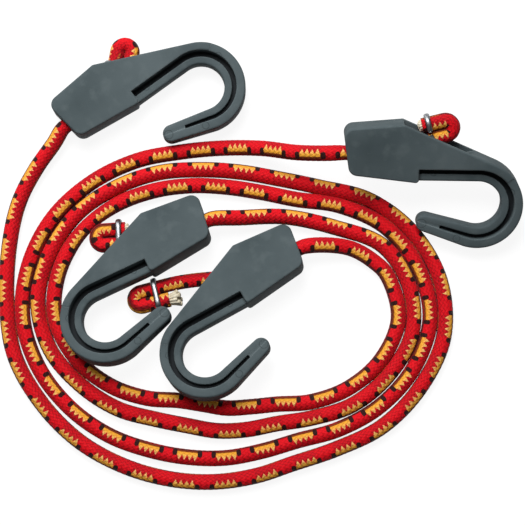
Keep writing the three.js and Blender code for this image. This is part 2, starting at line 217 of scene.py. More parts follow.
def fold_line(fold):
    """The folded end in the plane of its hook: up into the trough, round the turn and back."""
    ahead, back, turn = fold_axes(fold)
    start = np.array((SEAM_X + SEAM_GAP, 0.0, 0.0))
    rise_start = np.array((SEAM_X + CORD_D / 2, 0.0, 0.0))
    out_end = turn - back * LEG_PITCH / 2
    out_start = out_end - ahead * max(fold["leg"], CLIP_BACK + CLIP_WIRE)
    pull = np.linalg.norm(out_start - rise_start) * 0.4
    f = np.linspace(0.0, 1.0, 48)[:, None]
    rise = (rise_start * (1 - f) ** 3 + 3 * (rise_start + (pull, 0.0, 0.0)) * f * (1 - f) ** 2
            + 3 * (out_start - ahead * pull) * f ** 2 * (1 - f) + out_start * f ** 3)
    half = np.linspace(0.0, math.pi, 40)[:, None]
    bow = turn + (LEG_PITCH / 2) * (ahead * np.sin(half) - back * np.cos(half))
    back_end = turn + back * LEG_PITCH / 2 - ahead * fold["leg"]
    return np.vstack([start[None], rise, bow, back_end[None]])


def fold_place(letter):
    roll = Matrix.Rotation(math.radians(ENDS[letter]["fold"]["roll"]), 4, "X")
    return PLACES[letter] @ roll


# Meshes

def new_object(name, verts, faces, material, uv=None):
    mesh = bpy.data.meshes.new(name)
    mesh.from_pydata((np.asarray(verts) * MM).tolist(), [], faces)
    if uv is not None:
        layer = mesh.uv_layers.new(name="along_round")
        layer.data.foreach_set("uv", np.asarray(uv, float).ravel())
    mesh.materials.append(material)
    mesh.shade_smooth()
    mesh.validate()
    obj = bpy.data.objects.new(name, mesh)
    scene.collection.objects.link(obj)
    return obj


def axes_across(path, up):
    """Unit vectors across a line, to the side and towards up."""
    up = np.asarray(up, float)
    ahead = np.gradient(path, axis=0)
    ahead /= np.linalg.norm(ahead, axis=1)[:, None]
    rise = up - ahead * (ahead @ up)[:, None]
    rise /= np.linalg.norm(rise, axis=1)[:, None]
    return np.cross(ahead, rise), rise


def tube(path, along, up, radius, sides, turn_map=None):
    """A closed tube round a line: points, faces and, if asked for, a map of length and turn."""
    side, rise = axes_across(path, up)
    turn = 2 * math.pi * np.arange(sides) / sides
    reach = np.broadcast_to(radius, (len(path), sides))[:, :, None]
    verts = path[:, None] + reach * (side[:, None] * np.cos(turn)[None, :, None]
                                     + rise[:, None] * np.sin(turn)[None, :, None])
    rows = np.arange(len(path) - 1)[:, None] * sides
    j = np.arange(sides)[None]
    k = (j + 1) % sides
    quads = np.stack([rows + j, rows + sides + j, rows + sides + k, rows + k], axis=2)
    ring = list(range(sides))
    last = (len(path) - 1) * sides
    faces = quads.reshape(-1, 4).tolist() + [ring[::-1], [last + i for i in ring]]
    uv = None
    if turn_map is not None:
        turns = np.broadcast_to(turn_map(np.arange(sides + 1) / sides), (len(path), sides + 1))
        at = np.stack([np.broadcast_to(along[:, None], turns.shape), turns], axis=2)
        square = [at[:-1, :-1], at[1:, :-1], at[1:, 1:], at[:-1, 1:]]
        uv = np.vstack([np.stack(square, axis=2).reshape(-1, 2), at[0, :-1][::-1], at[-1, :-1]])
    return verts.reshape(-1, 3), faces, uv


# Shader formulas

class Num:
    """A number in a shader that is worked out with plain arithmetic."""

    def __init__(self, tree, socket):
        self.tree = tree
        self.socket = socket

    def calc(self, kind, *args):
        node = self.tree.nodes.new("ShaderNodeMath")
        node.operation = kind
        for slot, arg in zip(node.inputs, args):
            if isinstance(arg, Num):
                self.tree.links.new(arg.socket, slot)
            else:
                slot.default_value = arg
        return Num(self.tree, node.outputs[0])

    def __add__(self, other):
        return self.calc("ADD", self, other)

    def __sub__(self, other):
        return self.calc("SUBTRACT", self, other)

    def __rsub__(self, other):
        return self.calc("SUBTRACT", other, self)

    def __mul__(self, other):
        return self.calc("MULTIPLY", self, other)

    def __truediv__(self, other):
        return self.calc("DIVIDE", self, other)

    __radd__ = __add__
    __rmul__ = __mul__

    def floor(self):
        return self.calc("FLOOR", self)

    def fract(self):
        return self.calc("FRACT", self)

    def abs(self):
        return self.calc("ABSOLUTE", self)

    def mod(self, other):
        return self.calc("FLOORED_MODULO", self, other)

    def sine(self):
        return self.calc("SINE", self)

    def root(self):
        return self.calc("SQRT", self)

    def highest(self, other):
        return self.calc("MAXIMUM", self, other)

    def least(self, other):
        return self.calc("MINIMUM", self, other)

    def ramp(self, low, high):
        """0 below low, 1 above high."""
        node = self.tree.nodes.new("ShaderNodeMapRange")
        node.inputs["From Min"].default_value = low
        node.inputs["From Max"].default_value = high
        self.tree.links.new(self.socket, node.inputs["Value"])
        return Num(self.tree, node.outputs["Result"])

    def band(self, rise_from, rise_to, fall_from, fall_to):
        """1 between two ramps, one up and one down."""
        return self.ramp(rise_from, rise_to) * (1.0 - self.ramp(fall_from, fall_to))

    def hash(self, seed):
        """A fixed number from 0 to 1 that looks random."""
        return ((self * seed + 0.37).sine() * 4375.85).fract()


def linear(red, green, blue):
    """A colour given in 8-bit sRGB."""
    return tuple((v / 255 / 12.92) if v < 11 else ((v / 255 + 0.055) / 1.055) ** 2.4
                 for v in (red, green, blue)) + (1.0,)


def new_material(name):
    material = bpy.data.materials.new(name)
    material.use_nodes = True
    tree = material.node_tree
    return material, tree, tree.nodes["Principled BSDF"]


def blend(tree, share, low, high):
    """A colour between two, each a colour or a socket."""
    node = tree.nodes.new("ShaderNodeMix")
    node.data_type = "RGBA"
    tree.links.new(share.socket, node.inputs[0])
    for slot, value in ((node.inputs[6], low), (node.inputs[7], high)):
        if isinstance(value, tuple):
            slot.default_value = value
        else:
            tree.links.new(value, slot)
    return node.outputs[2]


def noise(tree, scale, detail=3.0, vector=None):
    node = tree.nodes.new("ShaderNodeTexNoise")
    node.inputs["Scale"].default_value = scale
    node.inputs["Detail"].default_value = detail
    if vector is None:
        vector = tree.nodes.new("ShaderNodeTexCoord").outputs["Object"]
    tree.links.new(vector, node.inputs["Vector"])
    return Num(tree, node.outputs["Fac"])


def bumped(tree, shader, height, distance, strength=1.0):
    node = tree.nodes.new("ShaderNodeBump")
    node.inputs["Strength"].default_value = strength
    node.inputs["Distance"].default_value = distance
    tree.links.new(height.socket, node.inputs["Height"])
    tree.links.new(node.outputs["Normal"], shader.inputs["Normal"])
    return node


# Braid: 12 yarns each way, red, with two rows of gold combs between black ticks

# Lengths are in millimetres, along the cord or round it from a comb's base. A band says where it
# starts to rise, is up, starts to fall and is down again
YARNS = 12
YARN_PITCH = 3.0
YARN_WAVE = 25.13
MOTIF = 21.6
TEETH = 4
TOOTH = 2.9
COMB = TEETH * TOOTH
TOOTH_LENGTH = 2.3
TOOTH_VARIES = 0.7
TOOTH_SEED = 12.99
TEETH_FROM = 0.75
BASE_RISE = (-0.95, -0.7)
BACK_BAND = (-2.1, -1.9, -0.95, -0.65)
SECOND_ROW = 118.0
SECOND_ROW_FROM = -60.0
SECOND_ROW_SHIFT = 9.0
ANGLE_FROM = -175.0
TICK_HALF_ALONG = 1.3
TICK_HALF_ROUND = 2.1
TICK_OFF = 1.2
TICK_DROP = 0.4
TRACER_BAND = (7.4, 7.6, 8.5, 8.7)
TRACER_FROM = 3.0
TRACER_HALF = 5.5
STITCH = 1.5
PAINTED_SHADE_BANDS = ((6.9, 8.1, 11.4, 12.8), (-4.4, -3.0, -2.2, -1.4))
FUZZ = 0.3

RED_YARN_SHADE = linear(116, 0, 10)
RED_YARN_LIT = linear(218, 0, 22)
RED_PATCH = linear(236, 6, 22)
RED_BY_TICKS = linear(242, 2, 24)
RED_BY_COMB = linear(140, 2, 20)
RED_PAINTED_SHADE = linear(56, 3, 9)
TRACER_GOLD = linear(206, 116, 48)
GOLD_BASE = linear(255, 178, 58)
GOLD_TIP = linear(255, 208, 138)
GOLD_YARN_SHADE = linear(186, 112, 22)
GOLD_EDGE = linear(236, 162, 40)
COMB_BACK = linear(104, 58, 8)
TICK_BLACK = linear(18, 10, 8)


def yarn_height(along, turn):
    """How proud the yarn on top stands, 0 to 1, as the relief of the tube."""
    a = turn * YARNS - along / YARN_PITCH
    b = turn * YARNS + along / YARN_PITCH
    over = (np.floor(a) + np.floor(b)) % 2
    fa = a - np.floor(a) - 0.5
    fb = b - np.floor(b) - 0.5
    return np.where(over < 0.5, 1 - (2 * fa) ** 2, 1 - (2 * fb) ** 2)


def braid_material():
    material, tree, shader = new_material("braid")
    uv = tree.nodes.new("ShaderNodeUVMap")
    uv.uv_map = "along_round"
    split = tree.nodes.new("ShaderNodeSeparateXYZ")
    tree.links.new(uv.outputs["UV"], split.inputs[0])
    s = Num(tree, split.outputs["X"])
    turn = Num(tree, split.outputs["Y"])

    # Yarns going over and under each other, each of four fine ends
    a = turn * YARNS - s / YARN_PITCH
    b = turn * YARNS + s / YARN_PITCH
    over = (a.floor() + b.floor()).mod(2.0)
    fa = a.fract() - 0.5
    fb = b.fract() - 0.5
    fine = noise(tree, 900.0, 4.0)
    top_a = 1.0 - 4.0 * fa * fa + 0.1 * (fa * YARN_WAVE).sine()
    top_b = 1.0 - 4.0 * fb * fb + 0.1 * (fb * YARN_WAVE).sine()
    height = top_a * (1.0 - over) + top_b * over
    # Painted shade and light: red and gold are darker where a yarn dips under the next and lighter
    # on its crown
    lit = height.ramp(-0.1, 0.75)

    # Combs: their base runs along the cord, their teeth point round it
    patch = noise(tree, 55.0, 2.0)
    arc = math.pi * CORD_D / 360.0
    fuzz = (fine - 0.5) * FUZZ
    angle = (turn * 360.0 - ANGLE_FROM).mod(360.0) + ANGLE_FROM
    second = angle.calc("LESS_THAN", angle, SECOND_ROW_FROM)
    y = (angle + second * SECOND_ROW) * arc + fuzz
    along = s + second * SECOND_ROW_SHIFT + fuzz
    u = along.mod(MOTIF)
    length = TOOTH_LENGTH + TOOTH_VARIES * (along / TOOTH).floor().hash(TOOTH_SEED)
    across = ((u / TOOTH).fract() - 0.5).abs() * TOOTH
    inside = 1.0 - (u - COMB / 2).abs().ramp(COMB / 2 - 0.1, COMB / 2 + 0.1)
    flame = ((1.0 - (y - TEETH_FROM) / length) * (0.5 * TOOTH) - across).ramp(-0.1, 0.2)
    flame = flame * y.ramp(*BASE_RISE) * inside
    back = y.band(*BACK_BAND) * inside

    # Black ticks at both ends of each base
    middle = (u - COMB / 2).abs().least((u - COMB / 2 - MOTIF).abs())
    ragged = (patch - 0.5) * 0.9
    du = ((middle - COMB / 2 - TICK_OFF + ragged) / TICK_HALF_ALONG).abs()
    dy = ((y + TICK_DROP + ragged) / TICK_HALF_ROUND).abs()
    tick = 1.0 - (du * du * du + dy * dy * dy).ramp(0.75, 1.2)

    # A thin tracer of dark gold stitches on the far side
    dash = ((s - TRACER_FROM).mod(MOTIF) - TRACER_HALF).abs()
    tracer = y.band(*TRACER_BAND) * (1.0 - dash.ramp(TRACER_HALF - 0.3, TRACER_HALF))
    stitch = (s / STITCH).fract().ramp(0.2, 0.35)

    red = blend(tree, lit, RED_YARN_SHADE, RED_YARN_LIT)
    red = blend(tree, patch.ramp(0.35, 0.7) * 0.3, red, RED_PATCH)
    by_ticks = (1.0 - inside) * (1.0 - y.abs().ramp(2.4, 4.6))
    red = blend(tree, by_ticks * 0.5, red, RED_BY_TICKS)
    red = blend(tree, inside * 0.22, red, RED_BY_COMB)
    # Painted shade: two dark bands round the cord, set from the combs and mottled by the patch
    # noise
    painted_shade = y.band(*PAINTED_SHADE_BANDS[0]) + y.band(*PAINTED_SHADE_BANDS[1])
    red = blend(tree, painted_shade * patch.ramp(0.25, 0.5) * 0.9, red, RED_PAINTED_SHADE)
    red = blend(tree, tracer * stitch * 0.7, red, TRACER_GOLD)
    gold = blend(tree, y.ramp(0.4, 3.4), GOLD_BASE, GOLD_TIP)
    # Painted shade on the gold where a yarn dips under
    gold = blend(tree, (1.0 - lit) * 0.6, gold, GOLD_YARN_SHADE)
    gold = blend(tree, 1.0 - y.ramp(-1.0, 0.2), gold, GOLD_EDGE)
    colour = blend(tree, back * 0.8, red, COMB_BACK)
    colour = blend(tree, flame, colour, gold)
    colour = blend(tree, tick * 0.97, colour, TICK_BLACK)
    tree.links.new(colour, shader.inputs["Base Color"])
    tree.links.new((0.62 + 0.2 * fine).socket, shader.inputs["Roughness"])
    shader.inputs["Sheen Weight"].default_value = 0.06
    shader.inputs["Specular IOR Level"].default_value = 0.2
    bumped(tree, shader, height * 0.8 + fine * 0.3, 0.35 * MM, 0.7)
    return material


RUBBER_LOW = linear(206, 192, 160)
RUBBER_HIGH = linear(238, 230, 208)


def core_material():
    material, tree, shader = new_material("rubber")
    cloud = noise(tree, 300.0)
    colour = blend(tree, cloud.ramp(0.3, 0.7), RUBBER_LOW, RUBBER_HIGH)
    tree.links.new(colour, shader.inputs["Base Color"])
    tree.links.new((0.55 + 0.25 * cloud).socket, shader.inputs["Roughness"])
    bumped(tree, shader, noise(tree, 1500.0), 0.2 * MM, 0.5)
    return material


PLASTIC_LOW = linear(68, 79, 82)
PLASTIC_HIGH = linear(88, 99, 102)
PLASTIC_SCUFF = linear(98, 108, 110)
PLASTIC_PIN = linear(42, 48, 50)
PLASTIC_PARTING = linear(100, 108, 109)
PLASTIC_EDGE_HIGHLIGHT = linear(146, 157, 160)
PLASTIC_NOOK_SHADE = linear(26, 28, 31)
# Place in the hook's own frame and radius of each mark that an ejector pin leaves on the bar
PIN_MARKS = ((42.4, -38.6, 2.4), (90.5, -19.5, 2.1), (62.0, -46.8, 1.9), (48.0, -9.6, 1.6))
PIN_FACE = (3.6, 3.9)
EDGE_SHINE_R = 1.0
NOOK_REACH = 7
GROOVE_SIDES = (2.3, 2.6)


def hook_material():
    material, tree, shader = new_material("moulded_plastic")
    own = tree.nodes.new("ShaderNodeAttribute")
    own.attribute_name = "own_place"
    place = own.outputs["Vector"]
    split = tree.nodes.new("ShaderNodeSeparateXYZ")
    tree.links.new(place, split.inputs[0])
    x = Num(tree, split.outputs["X"])
    y = Num(tree, split.outputs["Y"])
    z = Num(tree, split.outputs["Z"])
    flow = noise(tree, 0.028, 3.0, place)
    grain = noise(tree, 1.6, 3.0, place)
    scuff = noise(tree, 0.16, 6.0, place)

    # Parting line of the mould, and the round marks of its pins
    parting = 1.0 - z.abs().ramp(0.12, 0.3)
    pins = None
    for px, py, size in PIN_MARKS:
        away = ((x - px) * (x - px) + (y - py) * (y - py)).root() - size
        mark = 1.0 - away.abs().ramp(0.12, 0.34)
        pins = mark if pins is None else pins.highest(mark)
    pins = pins * z.abs().ramp(*PIN_FACE)

    # Painted highlight on the edges, found where a rounded normal leaves the face's own
    rounded = tree.nodes.new("ShaderNodeBevel")
    rounded.samples = 6
    rounded.inputs["Radius"].default_value = EDGE_SHINE_R * MM
    across = tree.nodes.new("ShaderNodeVectorMath")
    across.operation = "DOT_PRODUCT"
    tree.links.new(rounded.outputs["Normal"], across.inputs[0])
    tree.links.new(tree.nodes.new("ShaderNodeNewGeometry").outputs["Normal"], across.inputs[1])
    edge_highlight = 1.0 - Num(tree, across.outputs["Value"]).ramp(0.86, 0.98)

    # Painted shade in the nooks from ambient occlusion, darkest in the groove
    nook = tree.nodes.new("ShaderNodeAmbientOcclusion")
    nook.samples = 8
    nook.inputs["Distance"].default_value = NOOK_REACH * MM
    shut = 1.0 - Num(tree, nook.outputs["AO"])
    in_groove = 1.0 - z.abs().ramp(*GROOVE_SIDES)
    nook_shade = shut.ramp(0.45, 0.9).highest(shut.ramp(0.15, 0.35) * in_groove)

    colour = blend(tree, flow.ramp(0.3, 0.7), PLASTIC_LOW, PLASTIC_HIGH)
    colour = blend(tree, scuff.ramp(0.5, 0.7) * 0.4, colour, PLASTIC_SCUFF)
    colour = blend(tree, pins * 0.4, colour, PLASTIC_PIN)
    colour = blend(tree, parting * 0.35, colour, PLASTIC_PARTING)
    colour = blend(tree, edge_highlight * 0.75, colour, PLASTIC_EDGE_HIGHLIGHT)
    colour = blend(tree, nook_shade * 0.9, colour, PLASTIC_NOOK_SHADE)
    tree.links.new(colour, shader.inputs["Base Color"])
    tree.links.new((0.55 + 0.2 * scuff).socket, shader.inputs["Roughness"])
    shader.inputs["Specular IOR Level"].default_value = 0.08
    relief = grain * 0.25 - pins * 0.8 + parting * 0.5 + scuff * 0.1
    bump = bumped(tree, shader, relief, 0.2 * MM, 0.6)
    tree.links.new(rounded.outputs["Normal"], bump.inputs["Normal"])
    return material


STEEL_LOW = linear(104, 107, 110)
STEEL_HIGH = linear(172, 175, 178)
STEEL_STREAKS = (0.12, 14.0, 1.0)


def clip_material():
    material, tree, shader = new_material("drawn_steel")
    uv = tree.nodes.new("ShaderNodeUVMap")
    uv.uv_map = "along_round"
    drawn = tree.nodes.new("ShaderNodeMapping")
    drawn.inputs["Scale"].default_value = STEEL_STREAKS
    tree.links.new(uv.outputs["UV"], drawn.inputs["Vector"])
    streak = noise(tree, 1.0, 5.0, drawn.outputs["Vector"])
    colour = blend(tree, streak.ramp(0.35, 0.65), STEEL_LOW, STEEL_HIGH)
    tree.links.new(colour, shader.inputs["Base Color"])
    shader.inputs["Metallic"].default_value = 1.0
    tree.links.new((0.3 + 0.2 * streak).socket, shader.inputs["Roughness"])
    bumped(tree, shader, streak, 0.1 * MM, 0.4)
    return material


BRAID = braid_material()
RUBBER = core_material()
PLASTIC = hook_material()
STEEL = clip_material()

# Free stretches of the two cords

STEP = 0.6
SIDES = 40
RELIEF = 0.16
BRAID_R = CORD_D / 2 + 0.4
# From this distance to a fold on, the braid swells from the cord's own thickness to BRAID_R
BESIDE_FOLD = CORD_D + 1.5

# The pattern of each cord: its repeat as the braid lies stretched, where it stands at the start of
# the cord, the side to which its combs face, in degrees, and the way in which the teeth point
CORD_PATTERN = {
    "cord_1": dict(repeat=22.8, starts=7.0, faces=48.0, way=1),
    "cord_2": dict(repeat=21.8, starts=19.0, faces=116.0, way=-1),
}


def braid_tube(name, path, along, up, faces_to, way, radius):
    """A braided sheath; along and faces_to say how its pattern lies at each place on the line."""
    def pattern_turn(turn):
        return way * (turn[None] - faces_to[:, None] / 360.0)

    turn = pattern_turn(np.arange(SIDES) / SIDES)
    radius = radius + RELIEF * (yarn_height(along[:, None], turn) - 1)
    verts, faces, uv = tube(path, along, up, radius, SIDES, pattern_turn)
    obj = new_object(name, verts, faces, BRAID, uv)
    return obj


FOLDS = {letter: even(moved(fold_line(end["fold"]), fold_place(letter)), STEP)
         for letter, end in ENDS.items()}
FOLD_POINTS = np.vstack([path[::3] for path, _ in FOLDS.values()])

for name, cord in CORDS.items():
    path, s = even(smooth_curve(cord_route(cord)), STEP)
    away = np.linalg.norm(path[:, None] - FOLD_POINTS[None], axis=2).min(axis=1)
    free = np.clip((away - BESIDE_FOLD) / CORD_D, 0.0, 1.0)
    radius = CORD_D / 2 + (BRAID_R - CORD_D / 2) * free[:, None]
    pattern = CORD_PATTERN[name]
    along = pattern["starts"] + s * MOTIF / pattern["repeat"]
    faces_to = np.full(len(s), pattern["faces"])
    braid = braid_tube(name + "_braid", path, along, (0, 0, 1), faces_to, pattern["way"], radius)
    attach(braid, "coil")
    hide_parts(name + "_sheath", name + "_core")

# Folded ends, their cut cores and the clips

# The side to which the combs of a fold face, how that winds from its loop on, in degrees for each
# millimetre, the way in which the teeth point, and where in the pattern the loop stands
FOLD_PATTERN = {
    "a": dict(faces=34.0, winds=-3.0, way=1, at_loop=16.2),
    "b": dict(faces=130.0, winds=0.0, way=-1, at_loop=16.8),
    "c": dict(faces=160.0, winds=0.0, way=-1, at_loop=12.7),
    "d": dict(faces=200.0, winds=0.0, way=-1, at_loop=1.1),
}
FOLD_SHIFT = 6 * MOTIF
FOLD_BULGE = 0.55

# How far the strands of a cut core show, and how much they spread, as a share for each millimetre
CORE_ENDS = {
    "a": (CORE_SHOWS, 0.04),
    "b": (CORE_SHOWS, 0.06),
    "c": (CORE_SHOWS, 0.06),
    "d": (5.4, 0.11),
}
# Rings of strands: radius, count and shift as a share of one strand
STRAND_RINGS = ((0.0, 1, 0.0), (1.15, 6, 0.0), (2.28, 12, 0.5))
STRAND_RADII = (0.56, 0.56, 0.68, 0.78, 0.6, 0.25)
STRAND_SIDES = 10
CUT_UNEVEN = 0.25

CLIP_STEP = 0.5
CLIP_SIDES = 16
CLIP_FLAT_THICK = 0.72
CLIP_FLAT_WIDE = 1.75
CLIP_BLUNT = 0.25


def core_strands(at, ahead, letter, shows, flare):
    """The cut end of the core: 19 rubber strands, cut a little unevenly."""
    rng = np.random.default_rng(ord(letter))
    side = np.cross(ahead, (0, 0, 1.0))
    side /= np.linalg.norm(side)
    rise = np.cross(side, ahead)
    verts, faces = [], []
    for reach, count, shift in STRAND_RINGS:
        for i in range(count):
            turn = 2 * math.pi * (i + shift) / count
            across = side * math.cos(turn) + rise * math.sin(turn)
            out = shows + rng.uniform(-CUT_UNEVEN, CUT_UNEVEN) * shows
            steps = np.array((-6.0, -1.0, out * 0.4, out - 0.3, out - 0.08, out))
            open_by = 1 + flare * np.clip(steps, 0, None)
            line = at + ahead * steps[:, None] + across * (reach * open_by)[:, None]
            radius = (np.array(STRAND_RADII) * open_by)[:, None]
            v, f, _ = tube(line, steps, side + rise, radius, STRAND_SIDES)
            base = sum(len(part) for part in verts)
            verts.append(v)
            faces += [[base + k for k in face] for face in f]
    return np.vstack(verts), faces


def clip_line(fold):
    """The wire's middle line: an open ring round both legs."""
    ahead, back, turn = fold_axes(fold)
    up = np.array((0.0, 0.0, 1.0))
    middle = turn - ahead * CLIP_BACK
    radius = CORD_D / 2 + CLIP_CLEAR + CLIP_WIRE / 2
    half = np.linspace(0.0, math.pi, 25)[:, None]
    right = middle + back * LEG_PITCH / 2 + radius * (up * np.cos(half) + back * np.sin(half))
    left = middle - back * LEG_PITCH / 2 - radius * (up * np.cos(half) + back * np.sin(half))
    start = middle + back * CLIP_MOUTH / 2 + up * radius
    end = middle - back * CLIP_MOUTH / 2 + up * radius
    return np.vstack([start[None], right, left, end[None]]), ahead


for letter, end in ENDS.items():
    fold = end["fold"]
    place = fold_place(letter)
    body = "end_" + letter + "_body"
    up = np.array(place)[:3, 2]
    path, s = FOLDS[letter]

    # Braid, pressed flat where the two legs meet
    pressed = np.clip((s - s[-1] + 2 * fold["leg"] + math.pi * LEG_PITCH / 2) / CORD_D, 0.0, 1.0)
    inward = np.clip(-fold["side"] * np.cos(2 * math.pi * np.arange(SIDES) / SIDES), 0.0, 1.0) ** 2
    radius = CORD_D / 2 + FOLD_BULGE * pressed[:, None] * inward[None]
    pattern = FOLD_PATTERN[letter]
    from_loop = s - (s[-1] - fold["leg"] - math.pi * LEG_PITCH / 4)
    along = from_loop + pattern["at_loop"] + FOLD_SHIFT
    faces_to = pattern["faces"] + pattern["winds"] * from_loop
    braid = braid_tube("fold_" + letter + "_braid", path, along, up, faces_to, pattern["way"],
                       radius)
    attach(braid, body)
    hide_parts("end_" + letter + "_sheath")

    # Cut core
    ahead = path[-1] - path[-4]
    ahead /= np.linalg.norm(ahead)
    strands = core_strands(path[-1], ahead, letter, *CORE_ENDS[letter])
    core = new_object("fold_" + letter + "_core", *strands, RUBBER)
    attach(core, body)
    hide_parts("end_" + letter + "_core")

    # Clip of flattened wire with blunt ends
    line, ahead = clip_line(fold)
    line, s = even(line, CLIP_STEP)
    rounding = np.minimum(np.minimum(s, s[-1] - s) + CLIP_BLUNT, CLIP_WIRE / 2)
    radius = np.sqrt(np.clip((CLIP_WIRE / 2) ** 2 - (CLIP_WIRE / 2 - rounding) ** 2, 0.01, None))
    turn = 2 * math.pi * np.arange(CLIP_SIDES) / CLIP_SIDES
    flat = 1 / np.hypot(np.cos(turn) / CLIP_FLAT_THICK, np.sin(turn) / CLIP_FLAT_WIDE)
    section = radius[:, None] * flat[None]
    verts, faces, uv = tube(line, s, ahead, section, CLIP_SIDES, lambda share: share[None])
    clip = new_object("clip_" + letter + "_wire", moved(verts, place), faces, STEEL, uv)
    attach(clip, body)
    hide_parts("clip_" + letter)

# Hooks

BEND = np.array((BEND_X, -BEND_DROP))
OUTER_R = THROAT_R + BAR_WIDTH
RIM_R = THROAT_R + LEDGE_WIDTH + GROOVE_WIDTH
LEAN = math.tan(math.radians(REAR_LEAN))
SLANT = np.array((TOP_LENGTH, TOP_HEIGHT))
RIM_TURN = 50
OVERSHOOT = 10.0
SHARP_FROM = 38

# The bar: steps round its bend and turns of its round tip, the share of its length where the rim
# starts to thin, how thick the tip stays, how much the groove narrows, and the section's corners
BEND_STEPS = 56
TIP_TURNS = (0, 12, 24, 36, 48, 58, 67, 75, 82, 87)
RIM_THINS_FROM = 0.35
TIP_LEAST = 0.6
GROOVE_NARROWS = 0.4
SECTION_ROUNDS = (EDGE_ROUND * 1.3, 0.45, 0.25, 0.25, 0.5, EDGE_ROUND * 1.2)


def bow(centre, radius, start, end, steps):
    turns = np.linspace(start, end, steps + 1)
    return [np.array((centre[0] + radius * math.cos(t), centre[1] + radius * math.sin(t)))
            for t in turns]


def corner(before, at, after, radius, steps=8):
    """An outline's corner, rounded by an arc that touches both sides."""
    a = (before - at) / np.linalg.norm(before - at)
    b = (after - at) / np.linalg.norm(after - at)
    half = math.acos(float(np.clip(a @ b, -1, 1))) / 2
    centre = at + (a + b) / np.linalg.norm(a + b) * radius / math.sin(half)
    first = at + a * radius / math.tan(half) - centre
    last = at + b * radius / math.tan(half) - centre
    start = math.atan2(first[1], first[0])
    sweep = math.atan2(last[1], last[0]) - start
    sweep -= 2 * math.pi * round(sweep / (2 * math.pi))
    return bow(centre, radius, start, start + sweep, steps)


def slant_angle():
    away = SLANT - BEND
    return math.atan2(away[1], away[0]) - math.acos(OUTER_R / np.linalg.norm(away))


def slant_height(x):
    return TOP_HEIGHT - (x - TOP_LENGTH) / math.tan(slant_angle())


def cheek_outline():
    rear_top = np.array((-REAR_TOP * LEAN, REAR_TOP))
    rear_bottom = np.array((REAR_BELOW * LEAN, -REAR_BELOW))
    foot = np.array((BLOCK_LENGTH, BEND[1] + THROAT_R - BLOCK_STEP))
    head = np.array((BLOCK_LENGTH, BEND[1] + RIM_R))
    beyond = np.array((BEND_X, slant_height(BEND_X)))
    rim_end = math.pi / 2 - math.radians(RIM_TURN)
    return [
        *corner(foot, rear_bottom, rear_top, CORNER_R),
        *corner(rear_bottom, rear_top, SLANT, CORNER_R),
        *corner(rear_top, SLANT, beyond, CORNER_R / 2, 5),
        *bow(BEND, OUTER_R, slant_angle(), rim_end, 12),
        *bow(BEND, RIM_R, rim_end, math.pi / 2, 16),
        head,
        *corner(head, foot, rear_bottom, CORNER_R / 3, 4),
    ]


def hollow_outline():
    floor = -REAR_BELOW + EDGE_WALL
    slope = (TOP_HEIGHT - REAR_TOP) / (TOP_LENGTH + REAR_TOP * LEAN)

    def wall_x(y):
        return -y * LEAN + REAR_WALL

    def top_inside(x):
        return TOP_HEIGHT + (x - TOP_LENGTH) * slope - EDGE_WALL

    rear = wall_x(REAR_TOP - EDGE_WALL)
    return [np.array(p) for p in (
        (wall_x(floor), floor),
        (BLOCK_LENGTH - EDGE_WALL, floor),
        (BLOCK_LENGTH + EDGE_WALL, BEND[1] + RIM_R + EDGE_WALL),
        (TROUGH_LENGTH, slant_height(TROUGH_LENGTH) + EDGE_WALL / 4),
        (TROUGH_LENGTH, slant_height(TROUGH_LENGTH) + OVERSHOOT),
        (TOP_LENGTH + 0.01, TOP_HEIGHT + OVERSHOOT),
        (TOP_LENGTH, top_inside(TOP_LENGTH)),
        (rear, top_inside(rear)),
    )]


def inset(outline, by):
    """The outline moved inwards, for an outline that runs anticlockwise."""
    ahead = np.roll(outline, -1, axis=0) - outline
    ahead /= np.linalg.norm(ahead, axis=1)[:, None]
    inward = np.stack([-ahead[:, 1], ahead[:, 0]], axis=1)
    before = np.roll(inward, 1, axis=0)
    share = 1 + np.sum(inward * before, axis=1)
    return outline + (inward + before) / share[:, None] * by


def loft(rings):
    """A closed solid through rings of equal count, with flat ends."""
    count = len(rings[0])
    faces = []
    for r in range(len(rings) - 1):
        for i in range(count):
            k = (i + 1) % count
            faces.append([r * count + i, r * count + k, (r + 1) * count + k, (r + 1) * count + i])
    faces.append(list(range(count))[::-1])
    faces.append([(len(rings) - 1) * count + i for i in range(count)])
    return np.vstack(rings), faces


def rounded_plate(outline, thick, radius=0.0, steps=5):
    """A plate of an outline, with rounded edges if a radius is given."""
    outline = np.array(outline)
    x, y = outline.T
    if np.sum(x * np.roll(y, -1) - np.roll(x, -1) * y) < 0:
        outline = outline[::-1]
    levels = [(-thick / 2, 0.0), (thick / 2, 0.0)]
    if radius > 0:
        turns = np.linspace(0.0, math.pi / 2, steps + 1)
        upper = [(thick / 2 - radius + radius * math.sin(t), radius * (1 - math.cos(t)))
                 for t in turns]
        levels = [(-z, by) for z, by in upper[::-1]] + upper
    return loft([np.column_stack([inset(outline, by), np.full(len(outline), z)])
                 for z, by in levels])


